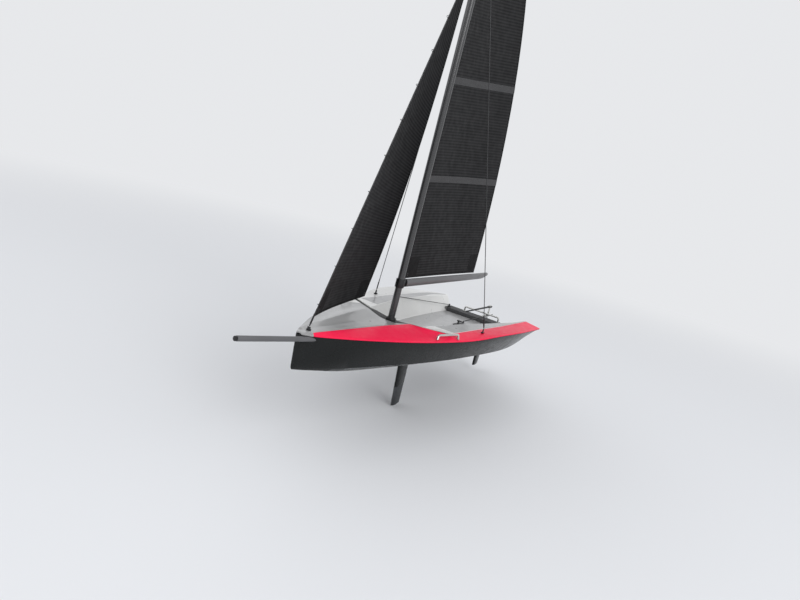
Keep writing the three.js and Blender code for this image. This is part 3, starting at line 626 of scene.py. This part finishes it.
def dished(x, y_edge, z_edge, middle):
    """One row of the foredeck, flat in the middle and curving up to its edges."""
    flat = min(18, y_edge * 0.35)
    row = []
    for y in spread(-y_edge, y_edge, 16):
        rise = max(0, abs(y) - flat) / (y_edge - flat)
        row.append((x, y, middle + (z_edge - middle) * rise**1.15))
    return row


def build_foredeck():
    rows = []
    for x in NOSE + FORE + [PEAK[0] + 0.5]:
        on_nose = x > NOSE_AFT_X
        y, z = line_at(SHEER if on_nose else CREASE, x)
        y -= 0 if on_nose else GAP / 2
        middle = 10 - 8 * (BOW_X - x) / (BOW_X - 16)
        rows.append(dished(x, y, z, middle))
    piece = slab("foredeck_skin", rows, (0, 0, -DECK))
    round_edges(piece, 0.8, 3, 50)
    shade(piece, 40)
    place(piece, "hull", "gelcoat", "foredeck")


def build_sheer_panel(name, side, slot):
    """Side deck from bow to stern; the starboard one is grey, with its aft part painted white as a painted
    highlight where the light falls on it.
    """
    half = GAP / 2
    rows = []
    for x in FORE:
        inner, outer = line_at(CREASE, x), line_at(SHEER, x)
        rows.append([(x, inner[0] + half, inner[1]), (x, *outer)])
    rows.append([(PEAK[0], PEAK[1] + half, PEAK[2]), (PEAK[0], *line_at(SHEER, PEAK[0]))])
    rows.append([KNEE, (KNEE_X, *line_at(SHEER, KNEE_X))])
    for x in AFT:
        inner, outer = line_at(BENCH_OUTER, x), line_at(SHEER, x)
        rows.append([(x, inner[0] + half, inner[1]), (x, *outer)])
    grid = []
    for inner, outer in rows:
        start, end = Vector(inner), Vector(outer)
        grid.append([tuple(start.lerp(end, t)) for t in (0, 0.25, 0.5, 0.75, 1)])
    grid = [[(x, y * side, z) for x, y, z in row] for row in grid]
    piece = slab("sheer_panel_skin_" + name, grid, (0, 0, -DECK))
    round_edges(piece, 0.7, 3, 50)
    shade(piece, 40)
    place(piece, "hull", slot, "sheer_panel_" + name)
    # Starboard only: faces aft of the boundary get the white gelcoat, a painted highlight for the light
    # falling on the aft part of the grey panel.
    if side < 0:
        piece.data.materials.append(LOOKS["white"])
        for face in piece.data.polygons:
            face.material_index = int(face.center.x < PANEL_HIGHLIGHT_X * MM)


def cockpit_ring(x, first):
    """Section of the cockpit moulding: bench, wall and floor, then the same line from below."""
    half = GAP / 2
    edge_x = BENCH_FRONT_X if first else x
    outer, inner = line_at(BENCH_OUTER, edge_x), line_at(BENCH_INNER, x)
    floor = line_at(FLOOR_EDGE, x)
    top = [(edge_x, outer[0] - half, outer[1]), (x, *inner), (x, *floor)]
    under = [
        (edge_x, outer[0] - half, outer[1] - DECK), (x, inner[0] + DECK, inner[1] - DECK),
        (x, floor[0] + DECK, floor[1] - DECK),
    ]
    mirrored_top = [(px, -y, z) for px, y, z in reversed(top)]
    mirrored_under = [(px, -y, z) for px, y, z in under]
    return top + mirrored_top + mirrored_under + under[::-1]


def build_cockpit():
    piece = loft("cockpit_skin", [cockpit_ring(x, i == 0) for i, x in enumerate(COCKPIT)])
    round_edges(piece, 1.3, 4, 38)
    aft, fore = SERVO_X - SERVO_AFT - GAP, SERVO_X + SERVO_FORE + GAP
    cut(piece, block("servo_hole", aft, fore, -SERVO_HALF, SERVO_HALF, -70, -40))
    shade(piece, 44)
    place(piece, "hull", "white", "cockpit_moulding")
    # Painted shade: the upward-facing floor faces of the white moulding get the grey gelcoat, standing for
    # the lesser light they take beside the lit walls.
    piece.data.materials.append(LOOKS["gelcoat"])
    for face in piece.data.polygons:
        floor_painted_shade = abs(face.normal.z) > 0.97 and face.center.z < FLOOR_TOP * MM
        face.material_index = int(floor_painted_shade)


def bench_painted_shade(side, name):
    """Painted shade on the bench top: a thin grey skin laid on the upward-facing white moulding, where it
    takes less light than the walls.
    """
    grid = []
    for x in COCKPIT[2:-1]:
        outer, inner = line_at(BENCH_OUTER, x), line_at(BENCH_INNER, x)
        start = Vector((x, outer[0] - BENCH_TOP_OUTER, outer[1]))
        end = Vector((x, inner[0] + BENCH_TOP_INNER, inner[1]))
        row = [start.lerp(end, t) for t in (0, 0.5, 1)]
        grid.append([(p.x, p.y * side, p.z + BENCH_TOP_LIFT) for p in row])
    piece = slab("bench_shade_skin_" + name, grid, (0, 0, -BENCH_TOP_THICK))
    shade(piece, 40)
    place(piece, "hull", "gelcoat")


def build_decks():
    build_hull()
    build_foredeck()
    build_cockpit()
    for (name, side), slot in zip(PORT_STBD, ("red", "gelcoat")):
        build_sheer_panel(name, side, slot)
        bench_painted_shade(side, name)
    refined("cockpit_gutter", 0.4)
    refined("mast_bulkhead", 0.5)
    refined("transom_plate", 0.4)
    refined("aft_deck", 0.8, 3)


# ---- spars and sails -----------------------------------------------------------------------------
def main_point(u, v):
    """Point on the mainsail's starboard face: u runs from luff to leech, v from foot to head."""
    foot = MAIN_TACK_Z + (MAIN_HEAD_Z - MAIN_TACK_Z) * v
    rise = 10.5 + 112 * v + 184 * v**2 - 264 * v**3
    chord = 444.5 - 237 * v**2 - 64 * v**3
    fullness = math.sin(math.pi / 2 * min(1, 0.12 + v * 1.3))
    belly = MAIN_CAMBER * chord * math.sin(math.pi * u) * fullness
    return Vector((MAIN_LUFF_X - chord * u, -belly, foot + rise * u))


def jib_point(u, v):
    """Point on the jib's starboard face, u and v as on the mainsail, swung about the forestay."""
    height = JIB_TACK_Z + (JIB_HEAD_Z - JIB_TACK_Z) * v
    on_stay = STAY_FOOT + STAY_AXIS * ((height - STAY_FOOT.z) / STAY_AXIS.z)
    chord = 264 * (1 - v) + 6 + 12 * math.sin(math.pi * v)
    aft = Vector((-STAY_AXIS.z, 0, STAY_AXIS.x))
    camber = JIB_CAMBER * chord * math.sin(math.pi * u) / max(chord * u + JIB_LUFF_GAP, 1)
    angle = math.radians(JIB_ANGLE - JIB_TWIST * v) + camber
    spoke = Matrix.Rotation(angle, 3, STAY_AXIS) @ aft
    climb = chord * u * 0.36 * (1 - v) - JIB_FOOT_ROUND * math.sin(math.pi * u) * (1 - v) ** 4
    return on_stay + STAY_AXIS * climb + spoke * (JIB_LUFF_GAP + chord * u)


def cloth_area(point, us, vs):
    """Area of a sail's surface, in square metres."""
    total = 0
    for v0, v1 in zip(vs, vs[1:]):
        for u0, u1 in zip(us, us[1:]):
            a, b, c, d = point(u0, v0), point(u1, v0), point(u1, v1), point(u0, v1)
            total += (c - a).cross(d - b).length / 2
    return total * MM**2


def cloth_piece(name, point, us, vs, low, high):
    """Sheet between two heights off the CAD surface, with its own (u, v) map."""
    grid = [[point(u, v) + Vector((0, low, 0)) for u in us] for v in vs]
    piece = slab(name, grid, (0, high - low, 0))
    uv = piece.data.uv_layers.new(name="cloth")
    count = len(us)
    for loop in piece.data.loops:
        row, column = divmod(loop.vertex_index % (count * len(vs)), count)
        uv.data[loop.index].uv = (us[column], vs[row])
    shade(piece, 50)
    return piece


def edge_tape(name, point, us, vs, body, look=TAPE):
    """Binding folded over a sail's edge, proud of both faces."""
    piece = cloth_piece(name, point, us, vs, -TAPE_PROUD, CLOTH + TAPE_PROUD)
    return place(piece, body, "strip", look=look)


def stitches(name, point, path, body):
    """A row of thread stitches lying on the port face of a sail."""
    tubes = []
    for (u0, v0), (u1, v1) in zip(path, path[1:]):
        a, b = point(u0, v0), point(u1, v1)
        count = max(1, round((b - a).length / STITCH_PITCH))
        for k in range(count):
            s, e = (k + 0.2) / count, (k + 0.8) / count
            ends = [point(u0 + (u1 - u0) * t, v0 + (v1 - v0) * t) for t in (s, e)]
            tubes.append([p + Vector((0, CLOTH + 1.0, 0)) for p in ends])
    piece = sweep(name, tubes[0], THREAD_RADIUS, 5, joined=tubes[1:])
    shade(piece, 60)
    return place(piece, body, "strip", look=THREAD)


def patch(name, point, corner, reach_u, reach_v, body):
    """Corner reinforcement: three layers of cloth, each smaller than the last."""
    pieces = []
    for layer in range(3):
        share = 1 - layer * 0.24
        us = spread(corner[0], corner[0] + reach_u * share, 6)
        vs = spread(corner[1], corner[1] + reach_v * share, 6)
        grid = [[point(u, v) for u in sorted(us)] for v in sorted(vs)]
        lift = 0.16 * (layer + 1)
        grid = [[p + Vector((0, -lift, 0)) for p in row] for row in grid]
        pieces.append(slab(f"{name}_{layer}", grid, (0, CLOTH + 2 * lift, 0)))
    for piece in pieces:
        shade(piece, 50)
        place(piece, body, "strip", look=TAPE)
    return pieces


def eyelet(name, point, u, v, body):
    """Metal ring pressed through the cloth."""
    at = point(u, v)
    across = (point(u + 0.01, v) - point(u - 0.01, v)).cross(point(u, v + 0.01) - point(u, v - 0.01))
    profile = [
        (2.2, -0.2), (2.6, -0.9), (3.6, -0.9), (4.2, -0.3),
        (4.2, 0.9), (3.6, 1.5), (2.6, 1.5), (2.2, 0.8),
    ]
    axis = across.normalized() if across.y > 0 else -across.normalized()
    piece = turned_smooth(name, profile, at, axis, 28, 60, hollow=True)
    return place(piece, body, "steel", look=DARK_METAL)


def build_mainsail():
    us, vs = spread(0, 1, 44), spread(0, 1, 110)
    sail = cloth_piece("mainsail_cloth", main_point, us, vs, 0, CLOTH)
    place(sail, "main_boom", "sail", "mainsail")
    extras = [
        edge_tape("main_luff_tape", main_point, [0, 0.006, 0.013], vs, "main_boom"),
        edge_tape("main_leech_tape", main_point, [0.987, 0.994, 1], vs, "main_boom"),
        edge_tape("main_foot_tape", main_point, us, [0, 0.003, 0.007], "main_boom"),
        edge_tape("main_head_tape", main_point, us, [0.993, 0.997, 1], "main_boom"),
    ]
    for name, v in BATTENS.items():
        rows = spread(v - BATTEN_HALF, v + BATTEN_HALF, 6)
        pocket = cloth_piece("batten_pocket_" + name, main_point, us, rows, CLOTH + 0.02, CLOTH + 0.8)
        place(pocket, "main_boom", "strip", "batten_" + name)
        extras.append(pocket)
        for edge, at in (("low", v - BATTEN_HALF * 0.84), ("high", v + BATTEN_HALF * 0.84)):
            path = [(u, at) for u in spread(0.016, 0.984, 12)]
            extras.append(stitches(f"batten_stitch_{name}_{edge}", main_point, path, "main_boom"))
    corners = {"tack": (0, 0, 0.13, 0.06), "clew": (1, 0, -0.13, 0.06), "head": (0, 1, 0.4, -0.045)}
    for name, (u, v, du, dv) in corners.items():
        extras += patch("main_patch_" + name, main_point, (u, v), du, dv, "main_boom")
        at = (u + math.copysign(0.022, du), v + math.copysign(0.011, dv))
        extras.append(eyelet("main_eye_" + name, main_point, *at, "main_boom"))
    cloth_area(main_point, us, vs)


def build_jib():
    us, vs = spread(0, 1, 30), spread(0, 1, 90)
    sail = cloth_piece("jib_cloth", jib_point, us, vs, 0, CLOTH)
    place(sail, "jib_sail", "sail", "jib", look=JIB_CLOTH)
    extras = [
        edge_tape("jib_luff_piping", jib_point, [0, 0.004, 0.008], vs[:-3], "jib_sail", PIPING),
        edge_tape("jib_luff_tape", jib_point, [0.009, 0.016, 0.024], vs[:-3], "jib_sail"),
        edge_tape("jib_leech_tape", jib_point, [0.974, 0.982, 0.991], vs[:-3], "jib_sail"),
        edge_tape("jib_leech_piping", jib_point, [0.992, 0.996, 1], vs[:-3], "jib_sail", PIPING),
        edge_tape("jib_foot_tape", jib_point, us, [0, 0.004, 0.008], "jib_sail"),
    ]
    corners = {"tack": (0, 0, 0.17, 0.07), "clew": (1, 0, -0.17, 0.07), "head": (0, 1, 1.0, -0.07)}
    for name, (u, v, du, dv) in corners.items():
        extras += patch("jib_patch_" + name, jib_point, (u, v), du, dv, "jib_sail")
    extras.append(eyelet("jib_eye_tack", jib_point, 0.035, 0.014, "jib_sail"))
    extras.append(eyelet("jib_eye_clew", jib_point, 0.965, 0.014, "jib_sail"))
    for k, v in enumerate(spread(0.03, 0.95, HANKS - 1)):
        extras.append(hank(k, v))
    cloth_area(jib_point, us, vs)


def hank(index, v):
    """Small plastic clip that holds the jib's luff to the forestay."""
    height = JIB_TACK_Z + (JIB_HEAD_Z - JIB_TACK_Z) * v
    centre = STAY_FOOT + STAY_AXIS * ((height - STAY_FOOT.z) / STAY_AXIS.z)
    out = (jib_point(0.02, v) - centre).normalized()
    side = STAY_AXIS.cross(out).normalized()
    path = []
    for a in spread(0, 2 * math.pi, 24):
        loop = out * (HANK_SHIFT + HANK_LENGTH * math.cos(a)) + side * (HANK_WIDTH * math.sin(a))
        path.append(centre + loop)
    piece = sweep(f"jib_hank_{index}", path, HANK_WIRE, 8)
    shade(piece, 60)
    return place(piece, "jib_sail", "plastic")


def build_boom():
    for node in ("boom_tube", "boom_end_cap"):
        refined(node, 0.3, 2, 40, look=BOOM_PAINT)


def build_mast():
    low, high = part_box("mast_tube")
    radius = (high.x - low.x) / 2 / MM
    foot, top = low.z / MM, high.z / MM
    bore = radius - MAST_WALL
    profile = [(bore, foot), (radius - 0.5, foot), (radius, foot + 0.5)]
    profile += [(radius, z) for z in spread(foot + 2, top - 2, 12)]
    profile += [(radius, top - 0.5), (radius - 0.5, top), (bore, top)]
    spar = turned_smooth("mast_spar", profile, (0, 0, 0), (0, 0, 1), 64, hollow=True)
    place(spar, "hull", "carbon", "mast_tube")
    section = [
        (-8, -1.7), (-8, 1.7), (-11, 1.7), (-11, 0.6),
        (-9.8, 0.6), (-9.8, -0.6), (-11, -0.6), (-11, -1.7),
    ]
    for name, ends in TRACKS.items():
        track = loft("mast_track_" + name, [[(x, y, z) for x, y in section] for z in ends])
        round_edges(track, 0.2, 2)
        shade(track, 40)
        place(track, "hull", "carbon")


# ---- standing rigging and rails --------------------------------------------------------------------
def stay(name, foot, head, node):
    """Wire from foot to head, with a rigging screw below and a swaged terminal above."""
    axis = (head - foot).normalized()
    length = (head - foot).length
    wire = sweep(name + "_wire", [foot + axis * t for t in spread(0, length, 40)], WIRE_RADIUS, 14)
    shade(wire, 60)
    place(wire, "hull", "wire", node)
    screw = [(0, 0.3), (1.3, 0.3), (1.3, 5), (1.9, 5.6), (1.9, 8), (1.4, 8.6), (1.7, 9), (1.7, 21),
             (1.4, 21.6), (1.9, 22.2), (1.9, 24.4), (1.3, 25), (1.3, 34), (1.1, 36), (0, 36)]
    place(turned_smooth(name + "_screw", screw, foot, axis, 24), "hull", "steel", look=DARK_METAL)
    swage = [(0, 0.3), (1.7, 0.3), (1.9, 1.2), (1.9, 12), (1.2, 15), (0, 15)]
    place(turned_smooth(name + "_terminal", swage, head, -axis, 24), "hull", "steel", look=DARK_METAL)


def build_rails():
    for name, side in PORT_STBD:
        route = [(x, side * y, z) for x, y, z in HAND_RAIL]
        rail = sweep("hand_rail_" + name, rounded(route, RAIL_BEND), RAIL_RADIUS, 24)
        shade(rail, 60)
        place(rail, "hull", "steel", "grab_rail_" + name)
    foot = STERN_RAIL_FOOT + GAP
    corners = [(-1, foot), (-1, STERN_RAIL_TOP), (1, STERN_RAIL_TOP), (1, foot)]
    route = [(STERN_RAIL_X, side * STERN_RAIL_HALF, z) for side, z in corners]
    rail = sweep("stern_hand_rail", rounded(route, RAIL_BEND), RAIL_RADIUS, 24)
    shade(rail, 60)
    place(rail, "hull", "steel", "stern_rail")
    flange = [(0, 0.1), (5.4, 0.1), (5.4, 0.8), (4.6, 1.3), (3, 1.5), (0, 1.5)]
    for letter, side in (("s", -1), ("p", 1)):
        at = (STERN_RAIL_X, side * STERN_RAIL_HALF, STERN_RAIL_FOOT)
        place(turned_smooth("stern_rail_foot_" + letter, flange, at, (0, 0, 1)), "hull", "steel")


def build_rigging():
    stay("forestay", STAY_FOOT, STAY_HEAD - Vector((0, 0, STAY_HEAD_DROP)), "forestay")
    for name, side in PORT_STBD:
        mirror = Vector((1, side, 1))
        stay("shroud_" + name, SHROUD_FOOT * mirror, SHROUD_HEAD * mirror, "shroud_" + name)


def build_sheet_line():
    """Thin braided line from the eye on the bench to the block on the aft deck."""
    start, end = SHEET_LINE
    path = [start.lerp(end, t) for t in spread(0, 1, 30)]
    line = sweep("sheet_line_braid", path, SHEET_LINE_RADIUS, 12)
    shade(line, 60)
    place(line, "hull", "plastic", "sheet_loop_line", look=BRAID)


def build_fittings():
    """The remaining nodes keep their CAD shape, with rounded edges and smooth curves."""
    refined("tiller", 0.5, 2, 30, look=LOOKS["plastic"])
    for node in ("keel_fin", "keel_ballast", "rudder_blade"):
        refined(node, 0.25, 2, 44)
    for node in ("gooseneck_bracket", "gooseneck_pin", "boom_tang", "hounds_fitting", "forestay_deck_eye",
                 "chainplate_port", "chainplate_starboard", "sheet_lead_eye", "steering_pushrod"):
        refined(node, 0.3, 2, 34, look=DARK_METAL)
    for node, thing in NODES.items():
        if not thing.hide_render:
            refined(node, 0.3, 2, 34)


# ---- studio --------------------------------------------------------------------------------------
def build_camera():
    data = bpy.data.cameras.new("view")
    data.sensor_width = 36
    data.lens = LENS
    data.clip_start = 0.01
    camera = bpy.data.objects.new("view", data)
    ahead = Vector(CAMERA_AHEAD).normalized()
    right = Vector(CAMERA_RIGHT)
    right = (right - ahead * right.dot(ahead)).normalized()
    up = right.cross(ahead)
    camera.matrix_world = Matrix.Translation(CAMERA_AT) @ Matrix((right, up, -ahead)).transposed().to_4x4()
    bpy.context.scene.collection.objects.link(camera)
    bpy.context.scene.camera = camera


def build_floor(low):
    """Pale floor that fades into an even glow far from the boat."""
    height = low - FLOOR_DROP
    bpy.ops.mesh.primitive_circle_add(
        vertices=96, radius=FLOOR_RADIUS, fill_type="NGON", location=(0, 0, height))
    floor = bpy.context.object
    floor.name = "studio_floor"
    material = bpy.data.materials.new("look_floor")
    material.use_nodes = True
    tree = material.node_tree
    shader = tree.nodes["Principled BSDF"]
    shader.inputs["Base Color"].default_value = (*PALE, 1)
    shader.inputs["Roughness"].default_value = 0.6
    glow = tree.nodes.new("ShaderNodeEmission")
    glow.inputs["Color"].default_value = (*PALE, 1)
    where = tree.nodes.new("ShaderNodeTexCoord")
    far = tree.nodes.new("ShaderNodeVectorMath")
    far.operation = "LENGTH"
    fade = tree.nodes.new("ShaderNodeMapRange")
    fade.interpolation_type = "SMOOTHSTEP"
    fade.inputs["From Min"].default_value = FADE_FROM
    fade.inputs["From Max"].default_value = FADE_TO
    mix = tree.nodes.new("ShaderNodeMixShader")
    tree.links.new(where.outputs["Object"], far.inputs[0])
    tree.links.new(far.outputs["Value"], fade.inputs["Value"])
    tree.links.new(fade.outputs["Result"], mix.inputs["Fac"])
    tree.links.new(shader.outputs["BSDF"], mix.inputs[1])
    tree.links.new(glow.outputs["Emission"], mix.inputs[2])
    tree.links.new(mix.outputs["Shader"], tree.nodes["Material Output"].inputs["Surface"])
    floor.data.materials.append(material)


def area_light(name, at, aim, size, watts):
    data = bpy.data.lights.new(name, "AREA")
    data.shape = "DISK"
    data.size = size
    data.energy = watts
    light = bpy.data.objects.new(name, data)
    light.location = at
    light.rotation_euler = (Vector(aim) - Vector(at)).to_track_quat("-Z", "Y").to_euler()
    bpy.context.scene.collection.objects.link(light)


def build_studio():
    world = bpy.data.worlds.new("studio")
    world.use_nodes = True
    back = world.node_tree.nodes["Background"]
    back.inputs["Color"].default_value = (*PALE, 1)
    back.inputs["Strength"].default_value = 1.0
    bpy.context.scene.world = world
    area_light("key", at=(1.2, 2.6, 2.2), aim=(-0.1, 0, 0.1), size=2.2, watts=34)
    area_light("fill", at=(2.4, -1.6, 1.6), aim=(0, 0, 0.2), size=2.4, watts=10)
    bpy.context.scene.view_settings.view_transform = "Standard"


build_camera()
build_floor(CAD_BOX[0][2])
build_studio()
build_decks()
build_mast()
build_boom()
build_mainsail()
build_jib()
build_rigging()
build_rails()
build_sheet_line()
build_fittings()
